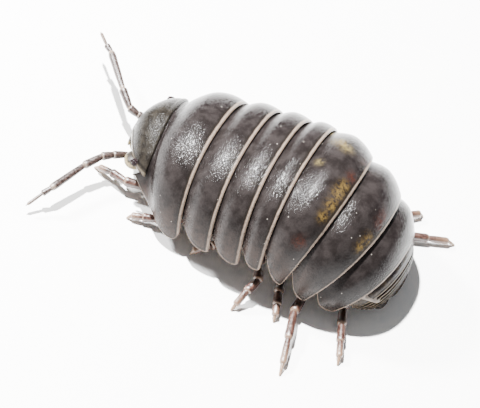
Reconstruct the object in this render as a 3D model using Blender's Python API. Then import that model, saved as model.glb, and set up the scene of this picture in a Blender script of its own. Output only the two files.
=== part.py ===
# Pill woodlouse, a still life-size model of a full-grown adult, standing and walking.
# The animal faces +X, its left side is +Y, and its feet stand on z = 0.
# All sizes below are in millimetres and are turned into metres when a mesh is made.

import math

import bmesh
import bpy
import numpy as np
from mathutils import Vector

MM = 0.001
GAP = 0.28                     # air kept between neighbouring pieces

# Place of the point under the crest of the back, from the middle of the model's box
CREST_AT = (-2.337, -0.768)

# The arch of the back, read at the rear rims of the head and of the seven body rings
RIM_PITCH = (2.40, 1.60, 1.45, 1.25, 2.35, 2.20, 1.85)            # along the back, rim to rim
RIM_SLOPE = (-28.5, -17.0, -15.0, -14.5, -8.5, 20.5, 42.0, 58.0)  # fall of the back, degrees
HALF_WIDTH = (3.04, 3.76, 3.98, 4.00, 4.00, 3.75, 3.56, 3.08)
ARCH_HEIGHT = (2.85, 3.32, 3.52, 3.66, 3.56, 3.90, 3.52, 2.58)
CREST_Z = 5.46                 # top of rim 4 above the floor
CREST_RIM = 4
ARCH_POWER = 2.24              # roundness of the arch across the body, 2 is an ellipse
LEAN = 0.64                    # a rim's plane leans by this share of the back's slope

# Body plates
STEP = 0.20                    # a plate starts this far below the rim in front of it
RISE = 0.5                     # share of its length in which it rises to its own level
UNDERCUT = 0.35                # the rim overhangs by this much, at 45 degrees
WALL = 0.55                    # thickness of the side plates
BELLY = 0.68                   # depth of the belly as a share of the arch height
SWELL = (0.0, 0.34, 0.18, 0.16, 0.12, 0.20, 0.18, 0.12)           # each plate's own bulge
PLATE_STATIONS = (0.25, 0.45, 0.65, 0.85)    # shares of a plate's length, over the back
BELLY_STATIONS = (0.65, 0.35)                # and along its inner side
SIDE_FRONT = 0.82              # the side plates' lower edge at the front, share of the height
SIDE_REAR = (0.0, 1.07, 1.06, 1.06, 1.05, 1.02, 0.98, 0.84)       # and at the rear tip
SIDE_BEND = 2.2                # how fast that edge falls behind its front corner
FIRST_FRONT = 0.53             # the same three for the first ring
FIRST_BEND = 2.4
FIRST_WALL = 0.30
FIRST_REACH = 0.46             # its front corners reach this far forward beside the head
FIRST_REACH_FROM = (0.84, 1.00)              # between these shares of the way to the edge
ACROSS = 26                    # faces over the arch, side to side

# Head, measured forward of its rear rim
HEAD_LENGTH = 1.39
HEAD_HALF_WIDTH = 2.05
HEAD_WIDEST_Z = 2.03
HEAD_FRONT_Z = 1.26            # level of the brow's lower end
HEAD_UNDER_Z = (1.62, 1.12)    # underside at the rear and at the front
HEAD_TURN = 4.4                # degrees to its left
HEAD_ROOF = (2.37, 3.15)       # roundness of its outline from the side
HEAD_PLAN = (1.77, 1.22)       # and from above
HEAD_POWER = (1.7, 2.2)        # roundness of its cross sections' upper half, rear and front
HEAD_UNDER_POWER = 2.4         # and of their lower half
HEAD_MIDDLE = 0.62             # the widest level is no higher than this share of a section
HEAD_BROW = 0.995              # share of the length where the last ring lies
HEAD_RINGS = 10
HEAD_AROUND = 24
LOBE_AT = (0.60, 1.45, 1.44)   # antennal lobe: forward, sideways, height
LOBE_SIZE = (0.42, 0.48, 0.31)
SHIELD_CORNERS = ((0.80, 2.00), (0.80, 1.12), (1.50, 1.12), (1.44, 1.95))
SHIELD_SIDES = ((-0.60, 0.60), (-0.16, 0.16))
MOUTH_AT = (0.55, 0.0, 1.15)
MOUTH_SIZE = (0.62, 0.82, 0.50)
EYE_AT = (0.55, 2.08, 2.08)
EYE_SIZE = (0.19, 0.15, 0.19)
EYE_SOCKET = 0.45              # radius of the socket that the eye stands in

# Tail: five narrow rings, the end plate and two side flaps
TAIL_END = (-5.88, 1.36)       # back of the last tail ring: x, z
TAIL_END_SLOPE = 94.0
TAIL_END_HALF_WIDTH = 2.05
TAIL_END_HEIGHT = 1.02
TAIL_END_LEAN = 44.0
TAIL_RINGS = 5
TAIL_START = 0.28              # the first ring shows from this share of the tail's length
TAIL_SLIT = 0.02               # half the width of the groove between two rings, as a share
TAIL_STEP = 0.11               # height of a rim over the next ring
TAIL_WALL = 0.45
TAIL_SIDE = (0.62, 0.92)       # lower edge at the front and the rear, share of the height
TAIL_BELLY = 0.56              # depth of its rear face, share of the height

# End plate, side flaps and brow shield: four corners as x and z, from the top of the rear
# face down and round to the top of the front face, then the side limits at top and bottom
TELSON_CORNERS = ((-5.84, 0.84), (-5.64, 0.34), (-5.26, 0.34), (-5.52, 0.56))
TELSON_SIDES = ((-0.74, 0.74), (-0.30, 0.30))
UROPOD_CORNERS = ((-5.70, 0.66), (-5.52, 0.32), (-5.20, 0.32), (-5.34, 0.46))
UROPOD_SIDES = ((1.12, 1.68), (0.72, 1.30))
FLAP_AROUND = 16
FLAP_POWER = 4.0               # roundness of a flap's outline, 2 is an ellipse
FLAP_STATIONS = ((0.0, 0.78), (0.22, 1.0), (0.78, 1.0), (1.0, 0.78))      # depth and size there

# Feelers: joints from the brow to the tip, relative to the point under the crest
FEELER_LEFT = ((7.72, 1.68, 1.32), (7.93, 1.88, 1.38), (8.22, 2.20, 1.38), (8.64, 3.04, 1.24),
               (9.24, 4.97, 1.04), (9.44, 5.28, 0.84), (9.75, 5.92, 0.50))
FEELER_RIGHT = ((7.76, -1.18, 1.32), (8.05, -1.04, 1.41), (8.50, -1.06, 1.52), (9.22, -1.64, 1.78),
                (10.65, -3.28, 1.84), (11.00, -3.55, 1.80), (11.58, -4.20, 1.66))
FEELER_RADIUS = (0.25, 0.29, 0.29, 0.28, 0.26, 0.20, 0.10)

# Legs: foot on the floor (x, y), and the point where the leg clears the side plates
LEFT_FEET = ((8.50, 1.72), (6.00, 3.47), (2.80, 3.55), (-0.05, 5.30), (-1.86, 4.72),
             (-3.32, 7.24), (-5.18, 5.15))
LEFT_EDGE = ((6.90, 2.16, 0.66), (4.85, 3.05, 0.42), (2.15, 3.05, 0.60), (-0.42, 3.80, 0.88),
             (-1.40, 3.50, 0.50), (-2.42, 4.10, 0.56), (-4.45, 3.30, 0.40))
RIGHT_FEET = ((7.10, -3.60), (4.10, -5.35), (1.35, -5.60), (0.40, -5.35), (-2.75, -5.70),
              (-4.92, -5.25), (-6.81, -4.57))
RIGHT_EDGE = ((6.20, -2.75, 0.58), (3.00, -3.95, 0.62), (1.65, -4.15, 0.62), (0.10, -4.10, 0.80),
              (-2.15, -4.10, 0.50), (-3.85, -4.00, 0.42), (-4.70, -3.30, 0.40))
LEG_ROOT_SIDE = (0.50, 0.50, 0.50, 0.50, 0.46, 0.50, 0.46)         # share of the half width
LEG_RADIUS = (0.30, 0.30, 0.28, 0.26, 0.26, 0.23, 0.18)
LEG_ROOT_AT = 0.42             # share of the ring's length where its legs are rooted
ROOT_GAP = 0.37                # the belly bulges a little, so a root keeps more than the gap
DROP_SHARE = (0.12, 0.08, 0.40)              # first joint, shares of the way root to edge
BEND_SHARE = (0.55, 0.48, 1.00)              # second joint
SHIN_SHARE = 0.45              # fourth joint, share of the way from edge to foot
SHIN_RISE = 0.77               # its height as a share of the edge point's
ANKLE_SHARE = 0.86
ANKLE_Z = 0.38

# An article of a limb: places along it, and its thickness there
ARTICLE = ((0.12, 0.92), (0.45, 1.02), (0.84, 1.06), (0.98, 0.92))
ROOT_STUB = 0.06               # straight run at a limb's root
FOOT_STUB = 0.12               # and at its foot

COLOURS = {
    "plate": (0.105, 0.095, 0.092), "head": (0.120, 0.112, 0.105), "eye": (0.01, 0.01, 0.011),
    "feeler": (0.110, 0.085, 0.078), "leg": (0.170, 0.105, 0.080), "tail": (0.110, 0.098, 0.092),
}


def clear_scene():
    for obj in list(bpy.data.objects):
        bpy.data.objects.remove(obj, do_unlink=True)


def new_collection(name):
    group = bpy.data.collections.new(name)
    bpy.context.scene.collection.children.link(group)
    return group


def material(name, kind, roughness):
    """A glossy horn-like finish in the colour of its kind."""
    mat = bpy.data.materials.new(name)
    mat.use_nodes = True
    shader = mat.node_tree.nodes["Principled BSDF"]
    shader.inputs["Base Color"].default_value = (*COLOURS[kind], 1.0)
    shader.inputs["Roughness"].default_value = roughness
    shader.inputs["Metallic"].default_value = 0.0
    return mat


def add_mesh(name, points, faces, group, kind, roughness=0.4):
    """One closed mesh from points in millimetres, its faces turned outwards."""
    place = np.array([CREST_AT[0], CREST_AT[1], 0.0])
    mesh = bpy.data.meshes.new(name)
    mesh.from_pydata([tuple(p) for p in (np.asarray(points, float) + place) * MM], [], faces)
    shape = bmesh.new()
    shape.from_mesh(mesh)
    bmesh.ops.recalc_face_normals(shape, faces=shape.faces)
    shape.to_mesh(mesh)
    shape.free()
    mesh.shade_smooth()
    mesh.materials.append(material(name, kind, roughness))
    obj = bpy.data.objects.new(name, mesh)
    group.objects.link(obj)
    return obj


def direction(slope):
    """Unit step to the rear along a back that falls by slope, as x and z."""
    return np.array([-math.cos(slope), -math.sin(slope)])


def rim_places():
    """x and z of the top of each rim, counted both ways from the crest."""
    slope = np.radians(RIM_SLOPE)
    places = [np.zeros(2) for _ in slope]
    places[CREST_RIM] = np.array([0.0, CREST_Z])
    for i in range(CREST_RIM, len(slope) - 1):
        middle = (slope[i] + slope[i + 1]) / 2
        places[i + 1] = places[i] + RIM_PITCH[i] * direction(middle)
    for i in range(CREST_RIM, 0, -1):
        middle = (slope[i] + slope[i - 1]) / 2
        places[i - 1] = places[i] - RIM_PITCH[i - 1] * direction(middle)
    return places


RIM_PLACE = rim_places()


def curve_between(start, slope_a, end, slope_b, u):
    """Point at share u of a smooth curve that leaves and arrives with the given slopes."""
    reach = np.linalg.norm(end - start)
    a = direction(slope_a) * reach
    b = direction(slope_b) * reach
    keep = 2 * u ** 3 - 3 * u ** 2 + 1
    return (keep * start + (u ** 3 - 2 * u ** 2 + u) * a + (1 - keep) * end
            + (u ** 3 - u ** 2) * b)


def rim_section(i):
    """The rim's top, lean, half width and height."""
    return dict(top=RIM_PLACE[i], lean=math.radians(RIM_SLOPE[i]) * LEAN,
                width=HALF_WIDTH[i], height=ARCH_HEIGHT[i])


def section_between(first, slope_a, second, slope_b, u):
    """The section at share u of the way from one section to the next."""
    mixed = {key: (1 - u) * first[key] + u * second[key] for key in ("lean", "width", "height")}
    mixed["top"] = curve_between(first["top"], slope_a, second["top"], slope_b, u)
    return mixed


def arch_angles(limit, across):
    """Angles from the top of the arch down to both edges, at limit times the height."""
    side = math.acos(math.copysign(abs(1 - limit) ** (ARCH_POWER / 2), 1 - limit))
    return np.linspace(-side, side, across + 1)


def arch(section, angles, sink=0.0, shift=0.0, slope=0.0, floor=None):
    """Points over an arch: a superellipse, sunk below its surface, moved to the rear, and
    where floor is given no deeper inside than that share of the height."""
    power = 2 / ARCH_POWER
    sine = np.sin(angles)
    cosine = np.cos(angles)
    y = section["width"] * np.sign(sine) * np.abs(sine) ** power
    down = section["height"] * (1 - np.sign(cosine) * np.abs(cosine) ** power)
    out_y = np.sign(sine) * np.abs(sine) ** (2 - power) / section["width"]
    out_z = np.sign(cosine) * np.abs(cosine) ** (2 - power) / section["height"]
    length = np.hypot(out_y, out_z)
    y = y - sink * out_y / length
    down = down + sink * out_z / length
    if floor is not None:
        down = np.maximum(down, floor * section["height"])
    step = direction(slope) * shift
    lean = section["lean"]
    x = section["top"][0] + down * math.sin(lean) + step[0]
    z = section["top"][1] - down * math.cos(lean) + step[1]
    return np.stack([x, y, z], axis=1)


def closed_loft(rows):
    """Points and faces of a closed band: the rows run in a ring, and the ends are filled."""
    rows = np.array(rows)
    count, across = rows.shape[:2]
    faces = []
    for r in range(count):
        s = (r + 1) % count
        for c in range(across - 1):
            faces.append((r * across + c, r * across + c + 1, s * across + c + 1, s * across + c))
    faces.append([r * across for r in range(count)])
    faces.append([r * across + across - 1 for r in reversed(range(count))])
    return rows.reshape(-1, 3), faces


def side_limit(front, rear, bend, u):
    """Lower edge of a side plate: it falls fast at first, then runs level to the rear tip."""
    return rear - (rear - front) * (1 - u) ** bend


def body_plate(i, group):
    """One body ring: a raised plate over the back, side plates, and a solid belly."""
    first = rim_section(i - 1)
    last = rim_section(i)
    slope_a = math.radians(RIM_SLOPE[i - 1])
    slope_b = math.radians(RIM_SLOPE[i])
    front = FIRST_FRONT if i == 1 else SIDE_FRONT
    bend = FIRST_BEND if i == 1 else SIDE_BEND
    slot = GAP * math.sqrt(2) - STEP          # from the rim in front to this plate's surface
    tuck = GAP - UNDERCUT                     # where the front face turns down
    depth = GAP * math.sqrt(2) - tuck         # and how far below the arch

    def angles(u):
        return arch_angles(side_limit(front, SIDE_REAR[i], bend, u), ACROSS)

    rows = [arch(first, angles(0.0), STEP, slot, slope_a)]
    for u in PLATE_STATIONS:
        ease = min(u / RISE, 1.0)
        sink = STEP * (1 - ease * ease * (3 - 2 * ease)) - SWELL[i] * 4 * u * (1 - u)
        between = section_between(first, slope_a, last, slope_b, u)
        rows.append(arch(between, angles(u), sink))
    rows.append(arch(last, angles(1.0)))
    rows.append(arch(last, angles(1.0), UNDERCUT, -UNDERCUT, slope_b))
    rows.append(arch(last, angles(1.0), WALL, -UNDERCUT, slope_b, BELLY))
    for u in BELLY_STATIONS:
        between = section_between(first, slope_a, last, slope_b, u)
        rows.append(arch(between, angles(u), WALL, floor=BELLY))
    wall = FIRST_WALL if i == 1 else WALL
    rows.append(arch(first, angles(0.0), wall + STEP / 2, tuck, slope_a, BELLY))
    rows.append(arch(first, angles(0.0), depth, tuck, slope_a))
    if i == 1:
        start, full = FIRST_REACH_FROM
        share = np.abs(np.linspace(-1, 1, ACROSS + 1))
        reach = np.clip((share - start) / (full - start), 0, 1)
        for row in (rows[0], rows[-1], rows[-2]):
            row[:, 0] += FIRST_REACH * reach * reach * (3 - 2 * reach)
    points, faces = closed_loft(rows)
    add_mesh(f"pereonite_{i}", points, faces, group, "plate")


def ring_stack(rings):
    """Points and faces of a closed tube from its rings, with both ends filled."""
    rings = np.array(rings)
    count, around = rings.shape[:2]
    faces = []
    for r in range(count - 1):
        for c in range(around):
            d = (c + 1) % around
            faces.append((r * around + c, r * around + d,
                          (r + 1) * around + d, (r + 1) * around + c))
    faces.append(list(range(around)))
    faces.append([(count - 1) * around + c for c in reversed(range(around))])
    return rings.reshape(-1, 3), faces


def turned(forward, sideways, share):
    """A head point's place: the head turns to its left little by little to its front."""
    turn = math.radians(HEAD_TURN) * share ** 2
    rim = RIM_PLACE[0]
    x = rim[0] + forward * math.cos(turn) - sideways * math.sin(turn)
    return x, forward * math.sin(turn) + sideways * math.cos(turn)


def head_point(place):
    """World place of a point given as forward, sideways and height on the head."""
    share = min(max(place[0] / HEAD_LENGTH, 0.0), 1.0)
    x, y = turned(place[0], place[1], share)
    return np.array([x, y, place[2]])


def arch_height_at(y):
    """Height of the head's rear rim over the floor at y from the middle."""
    rim = rim_section(0)
    share = np.clip(np.abs(y) / rim["width"], 0, 1) ** ARCH_POWER
    return rim["top"][1] - rim["height"] * (1 - (1 - share) ** (1 / ARCH_POWER))


def head_body():
    """The head: rings of a superellipse that shrink to the brow, high until near the front."""
    lean = math.radians(RIM_SLOPE[0]) * LEAN
    angle = np.linspace(0, 2 * math.pi, HEAD_AROUND, endpoint=False)
    sine = np.sin(angle)
    cosine = np.cos(angle)
    rings = []
    for k in range(HEAD_RINGS):
        share = math.sin(k / (HEAD_RINGS - 1) * math.pi / 2) * HEAD_BROW
        drop = (1 - share ** HEAD_ROOF[0]) ** (1 / HEAD_ROOF[1])
        top = HEAD_FRONT_Z + (RIM_PLACE[0][1] - HEAD_FRONT_Z) * drop
        width = HEAD_HALF_WIDTH * (1 - share ** HEAD_PLAN[0]) ** (1 / HEAD_PLAN[1])
        under = HEAD_UNDER_Z[0] + (HEAD_UNDER_Z[1] - HEAD_UNDER_Z[0]) * share
        middle = min(HEAD_WIDEST_Z, under + HEAD_MIDDLE * (top - under))
        upper = HEAD_POWER[0] + (HEAD_POWER[1] - HEAD_POWER[0]) * share
        power = np.where(cosine > 0, 2 / upper, 2 / HEAD_UNDER_POWER)
        y = width * np.sign(sine) * np.abs(sine) ** power
        rise = np.abs(cosine) ** power
        z = middle + np.where(cosine > 0, rise * (top - middle), -rise * (middle - under))
        under_arch = arch_height_at(y) - z
        forward = HEAD_LENGTH * share + (np.clip(under_arch, 0, UNDERCUT)
                                         + (z - top) * math.tan(-lean)) * (1 - share)
        rings.append(np.stack([*turned(forward, y, share), z], axis=1))
        if k == 0:
            inset = 1 - UNDERCUT / (top - middle)
            z = middle + (z - middle) * inset
            forward = UNDERCUT + (z - top) * math.tan(-lean)
            rings.insert(0, np.stack([*turned(forward, y * inset, 0.0), z], axis=1))
    return ring_stack(rings)


def ellipsoid(name, centre, size, group, kind, segments=14, rings=9):
    """A closed ellipsoid of the given half sizes."""
    shape = bmesh.new()
    bmesh.ops.create_uvsphere(shape, u_segments=segments, v_segments=rings, radius=1.0)
    points = np.array([v.co for v in shape.verts]) * np.array(size) + np.array(centre)
    faces = [[v.index for v in f.verts] for f in shape.faces]
    shape.free()
    add_mesh(name, points, faces, group, kind)


def join_and_cut(base, added, removed):
    """One Boolean union of the base with the added pieces, one cut by the removed ones, both
    applied, and only the largest closed surface kept."""
    for operation, group in (("UNION", added), ("DIFFERENCE", removed)):
        boolean = base.modifiers.new(operation.lower(), "BOOLEAN")
        boolean.operation = operation
        boolean.operand_type = "COLLECTION"
        boolean.collection = group
        boolean.solver = "EXACT"
    bpy.context.view_layer.update()
    result = base.evaluated_get(bpy.context.evaluated_depsgraph_get())
    mesh = bpy.data.meshes.new_from_object(result)
    mesh.name = base.name
    keep_largest(mesh)
    base.modifiers.clear()
    base.data = mesh
    for group in (added, removed):
        for piece in list(group.objects):
            bpy.data.objects.remove(piece, do_unlink=True)
        bpy.data.collections.remove(group)


def keep_largest(mesh):
    """Delete all closed surfaces but the one with the most faces."""
    shape = bmesh.new()
    shape.from_mesh(mesh)
    bmesh.ops.remove_doubles(shape, verts=shape.verts, dist=2e-6)
    left = set(shape.faces)
    bodies = []
    while left:
        body = set()
        front = [left.pop()]
        while front:
            face = front.pop()
            body.add(face)
            for edge in face.edges:
                for other in edge.link_faces:
                    if other in left:
                        left.remove(other)
                        front.append(other)
        bodies.append(body)
    bodies.sort(key=len)
    for body in bodies[:-1]:
        bmesh.ops.delete(shape, geom=list(body), context="FACES")
    loose = [v for v in shape.verts if not v.link_faces]
    bmesh.ops.delete(shape, geom=loose, context="VERTS")
    shape.to_mesh(mesh)
    shape.free()


def eye_place(side):
    return head_point((EYE_AT[0], EYE_AT[1] * side, EYE_AT[2]))


def make_head(group):
    points, faces = head_body()
    head = add_mesh("head", points, faces, group, "head", 0.5)
    added = new_collection("head_pieces")
    sockets = new_collection("eye_sockets")
    for side in (1, -1):
        centre = head_point((LOBE_AT[0], LOBE_AT[1] * side, LOBE_AT[2]))
        ellipsoid(f"lobe_{side}", centre, LOBE_SIZE, added, "head")
        ellipsoid(f"socket_{side}", eye_place(side), (EYE_SOCKET,) * 3, sockets, "head", 12, 8)
    brow = [tuple(head_point((x, 0.0, z))[[0, 2]]) for x, z in SHIELD_CORNERS]
    flap("shield", brow, SHIELD_SIDES, added, "head")
    ellipsoid("mouth", head_point(MOUTH_AT), MOUTH_SIZE, added, "head")
    join_and_cut(head, added, sockets)


def make_eye(side, group):
    name = "eye_left" if side > 0 else "eye_right"
    centre = eye_place(side)
    ellipsoid(name, centre, EYE_SIZE, group, "eye", 12, 8)


def limb(name, joints, radii, group, kind, first_way, last_way=None):
    """A jointed limb: a filled curve through its joints, each article thickest near its far
    end and drawn in at the joints. Its ends are square to the ways given."""
    joints = [Vector(p) for p in joints]
    path = [joints[0], joints[0] + Vector(first_way) * ROOT_STUB]
    widths = [radii[0], radii[0]]
    for k in range(len(joints) - 1):
        for share, swell in ARTICLE:
            after_root = k > 0 or share > 0.5
            before_foot = k < len(joints) - 2 or share < 0.3 or not last_way
            if after_root and before_foot:
                path.append(joints[k].lerp(joints[k + 1], share))
                widths.append((radii[k] + (radii[k + 1] - radii[k]) * share) * swell)
    if last_way:
        path.append(joints[-1] - Vector(last_way) * FOOT_STUB)
        widths.append(radii[-1])
    path.append(joints[-1])
    widths.append(radii[-1])
    curve = bpy.data.curves.new(name, "CURVE")
    curve.dimensions = "3D"
    curve.bevel_depth = MM
    curve.bevel_resolution = 2
    curve.use_fill_caps = True
    spline = curve.splines.new("POLY")
    spline.points.add(len(path) - 1)
    place = Vector((CREST_AT[0], CREST_AT[1], 0.0))
    for point, centre, width in zip(spline.points, path, widths):
        point.co = (*((centre + place) * MM), 1.0)
        point.radius = width
    curve.materials.append(material(name, kind, 0.4))
    group.objects.link(bpy.data.objects.new(name, curve))


def leg_root(i, side):
    """Place on the belly of ring i where the leg is rooted, a gap below the belly."""
    first = rim_section(i - 1)
    last = rim_section(i)
    between = section_between(first, math.radians(RIM_SLOPE[i - 1]), last,
                              math.radians(RIM_SLOPE[i]), LEG_ROOT_AT)
    down = BELLY * between["height"] + ROOT_GAP
    way = (math.sin(between["lean"]), 0.0, -math.cos(between["lean"]))
    place = np.array([between["top"][0] + down * way[0],
                      side * LEG_ROOT_SIDE[i - 1] * between["width"],
                      between["top"][1] + down * way[2]])
    return place, way


def make_leg(i, side, foot, edge, group):
    """A leg from the belly, bent under the side plate, out to its foot on the floor."""
    name = f"leg_{'left' if side > 0 else 'right'}_{i}"
    root, way = leg_root(i, side)
    edge = np.array(edge)
    foot = np.array([foot[0], foot[1], 0.0])
    drop = root + (edge - root) * np.array(DROP_SHARE)
    bend = root + (edge - root) * np.array(BEND_SHARE)
    shin = edge + (foot - edge) * SHIN_SHARE
    shin[2] = edge[2] * SHIN_RISE
    ankle = edge + (foot - edge) * ANKLE_SHARE
    ankle[2] = ANKLE_Z
    joints = [root, drop, bend, edge, shin, ankle, foot]
    limb(name, joints, LEG_RADIUS, group, "leg", way, (0.0, 0.0, -1.0))


def make_tail(group):
    """Five narrow rings in one piece, each rim raised over the next."""
    first = rim_section(7)
    last = dict(top=np.array(TAIL_END), lean=math.radians(TAIL_END_LEAN),
                width=TAIL_END_HALF_WIDTH, height=TAIL_END_HEIGHT)
    slope_a = math.radians(RIM_SLOPE[7])
    slope_b = math.radians(TAIL_END_SLOPE)
    slot = GAP * math.sqrt(2) - STEP
    tuck = GAP - UNDERCUT
    depth = GAP * math.sqrt(2) - tuck

    def angles(u):
        return arch_angles(side_limit(*TAIL_SIDE, SIDE_BEND, u), ACROSS)

    def between(u):
        return section_between(first, slope_a, last, slope_b, u)

    rows = [arch(first, angles(0.0), STEP, slot, slope_a)]
    for k in range(TAIL_RINGS):
        u = TAIL_START + (1 - TAIL_START) * k / TAIL_RINGS
        v = TAIL_START + (1 - TAIL_START) * (k + 1) / TAIL_RINGS
        rows.append(arch(between(u + TAIL_SLIT), angles(u), STEP))
        rows.append(arch(between(v - TAIL_SLIT), angles(v), STEP - TAIL_STEP))
    rows.append(arch(between(1 - TAIL_SLIT), angles(1.0), TAIL_WALL, floor=TAIL_BELLY))
    rows.append(arch(between(0.5), angles(0.5), WALL, floor=BELLY))
    rows.append(arch(first, angles(0.0), WALL + STEP / 2, tuck, slope_a, BELLY))
    rows.append(arch(first, angles(0.0), depth, tuck, slope_a))
    points, faces = closed_loft(rows)
    add_mesh("pleon", points, faces, group, "tail")


def flap(name, corners, sides, group, kind, side=1):
    """A rounded plate: its outline seen from the side, and its side limits at top and bottom;
    with side -1 it is mirrored to the right."""
    angle = np.linspace(0, 2 * math.pi, FLAP_AROUND, endpoint=False)
    across = np.sign(np.cos(angle)) * np.abs(np.cos(angle)) ** (2 / FLAP_POWER)
    down = np.sign(np.sin(angle)) * np.abs(np.sin(angle)) ** (2 / FLAP_POWER)
    rear_top, rear_low, front_low, front_top = np.array(corners)
    near = np.array([sides[0][0], sides[1][0]])
    far = np.array([sides[0][1], sides[1][1]])
    rings = []
    for depth, size in FLAP_STATIONS:
        q = (0.5 + 0.5 * down * size)[:, None]
        p = 0.5 + 0.5 * across * size
        rear = rear_top + (rear_low - rear_top) * q
        front = front_top + (front_low - front_top) * q
        place = rear + (front - rear) * depth
        left = near[0] + (near[1] - near[0]) * q[:, 0]
        right = far[0] + (far[1] - far[0]) * q[:, 0]
        y = (left + (right - left) * p) * side
        rings.append(np.stack([place[:, 0], y, place[:, 1]], axis=1))
    points, faces = ring_stack(rings)
    return add_mesh(name, points, faces, group, kind)


def build():
    clear_scene()
    body = new_collection("woodlouse")
    make_head(body)
    for side in (1, -1):
        make_eye(side, body)
    for name, joints in (("antenna_left", FEELER_LEFT), ("antenna_right", FEELER_RIGHT)):
        way = (Vector(joints[1]) - Vector(joints[0])).normalized()
        limb(name, joints, FEELER_RADIUS, body, "feeler", way)
    for i in range(1, 8):
        body_plate(i, body)
    make_tail(body)
    flap("pleotelson", TELSON_CORNERS, TELSON_SIDES, body, "tail")
    flap("uropod_left", UROPOD_CORNERS, UROPOD_SIDES, body, "tail")
    flap("uropod_right", UROPOD_CORNERS, UROPOD_SIDES, body, "tail", -1)
    for i in range(1, 8):
        make_leg(i, 1, LEFT_FEET[i - 1], LEFT_EDGE[i - 1], body)
        make_leg(i, -1, RIGHT_FEET[i - 1], RIGHT_EDGE[i - 1], body)


build()
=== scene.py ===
import bpy
import numpy as np
from mathutils import Matrix


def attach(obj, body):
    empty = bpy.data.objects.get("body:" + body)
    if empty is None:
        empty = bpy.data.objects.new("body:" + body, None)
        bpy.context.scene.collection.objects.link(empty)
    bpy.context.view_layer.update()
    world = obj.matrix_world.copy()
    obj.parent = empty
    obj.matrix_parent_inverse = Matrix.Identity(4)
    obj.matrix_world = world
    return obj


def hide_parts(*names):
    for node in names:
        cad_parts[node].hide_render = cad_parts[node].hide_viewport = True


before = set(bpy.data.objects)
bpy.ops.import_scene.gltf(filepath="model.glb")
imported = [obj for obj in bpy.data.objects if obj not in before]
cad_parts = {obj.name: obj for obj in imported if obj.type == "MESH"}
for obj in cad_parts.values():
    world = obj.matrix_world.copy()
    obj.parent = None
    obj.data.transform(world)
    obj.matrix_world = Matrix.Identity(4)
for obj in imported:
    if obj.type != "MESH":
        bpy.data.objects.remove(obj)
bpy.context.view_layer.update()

mm = 0.001

# The back, in millimetres from the point on the floor under its crest: for the rear rims of the
# head and the seven body rings, their spacing, fall, half width and height of arch
back = dict(
    crestAt=(-2.337, -0.768, 0.0),     # the point under the crest, in the frame
    crestZ=5.46, crestRim=4,
    pitch=(2.40, 1.60, 1.45, 1.25, 2.35, 2.20, 1.85),
    slope=(-28.5, -17.0, -15.0, -14.5, -8.5, 20.5, 42.0, 58.0),
    halfWidth=(3.04, 3.76, 3.98, 4.00, 4.00, 3.75, 3.56, 3.08),
    height=(2.85, 3.32, 3.52, 3.66, 3.56, 3.90, 3.52, 2.58),
    roundness=2.24,                    # 2 is an ellipse
    lean=0.64,                         # a rim's plane leans by this share of the slope
)


def smooth(value, low, high):
    # cubic step: 0 below low, 1 above high
    t = np.clip((value - low) / (high - low), 0.0, 1.0)
    return t * t * (3 - 2 * t)


def softEdge(distance, width):
    # quarter of an ellipse: 0 at the edge, 1 from width inwards
    t = 1 - np.clip(distance / width, 0.0, 1.0)
    return np.sqrt(np.clip(1 - t * t, 0.0, 1.0))


def unit(vectors):
    vectors = np.asarray(vectors, float)
    return vectors / np.maximum(np.linalg.norm(vectors, axis=-1, keepdims=True), 1e-12)


def mix(pair, share):
    return pair[0] + (pair[1] - pair[0]) * share


def wayBack(slope):
    # unit step to the rear along a back that falls by slope (radians), as x and z
    return np.stack([-np.cos(slope), -np.sin(slope)], axis=-1)


def rimPlaces():
    # walk from the crest both ways, each step along the mean slope of its two rims
    slope = np.radians(back["slope"])
    steps = np.array(back["pitch"])[:, None] * wayBack((slope[:-1] + slope[1:]) / 2)
    walked = np.concatenate([[(0.0, 0.0)], np.cumsum(steps, axis=0)])
    return walked - walked[back["crestRim"]] + (0.0, back["crestZ"])


rimPlace = rimPlaces()


def curveBetween(start, slopeA, end, slopeB, u):
    # cubic that leaves start and reaches end along the given slopes, at shares u
    u = u[..., None]
    reach = np.linalg.norm(np.subtract(end, start))
    keep = 2 * u ** 3 - 3 * u ** 2 + 1
    return (keep * start + (u ** 3 - 2 * u ** 2 + u) * wayBack(slopeA) * reach
            + (1 - keep) * end + (u ** 3 - u ** 2) * wayBack(slopeB) * reach)


def rimSection(i):
    slope = np.radians(back["slope"][i])
    return dict(top=rimPlace[i], slope=slope, lean=slope * back["lean"],
                width=back["halfWidth"][i], height=back["height"][i])


def sectionBetween(first, last, u):
    # arch sections at shares u: the top on the cubic, the rest mixed evenly
    mixed = {key: (1 - u) * first[key] + u * last[key] for key in ("lean", "width", "height")}
    mixed["top"] = curveBetween(first["top"], first["slope"], last["top"], last["slope"], u)
    return mixed


def archLimit(share):
    # angle from the top of the arch at which it has fallen by this share of its height
    return np.arccos(np.copysign(np.abs(1 - share) ** (back["roundness"] / 2), 1 - share))


def archPoints(section, angle, sink):
    # superellipse across the body, y = width sin^p and fall = height (1 - cos^p), moved inwards
    # by sink along its normal, in a plane that leans with the rim
    power = 2 / back["roundness"]
    sine = np.sin(angle)
    cosine = np.cos(angle)
    width, height, lean = (section[key][:, None] for key in ("width", "height", "lean"))
    outY = np.sign(sine) * np.abs(sine) ** (2 - power) / width
    outZ = np.sign(cosine) * np.abs(cosine) ** (2 - power) / height
    length = np.hypot(outY, outZ)
    y = width * np.sign(sine) * np.abs(sine) ** power - sink * outY / length
    down = height * (1 - np.sign(cosine) * np.abs(cosine) ** power) + sink * outZ / length
    x = section["top"][:, 0:1] + down * np.sin(lean)
    z = section["top"][:, 1:2] - down * np.cos(lean)
    return np.stack([x, y, z], axis=-1)


def closeAtEnd(count, power):
    # shares from 0 to 1, closest together at 1: 1 - (1 - t)^power
    return 1 - (1 - np.linspace(0, 1, count)) ** power


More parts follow.
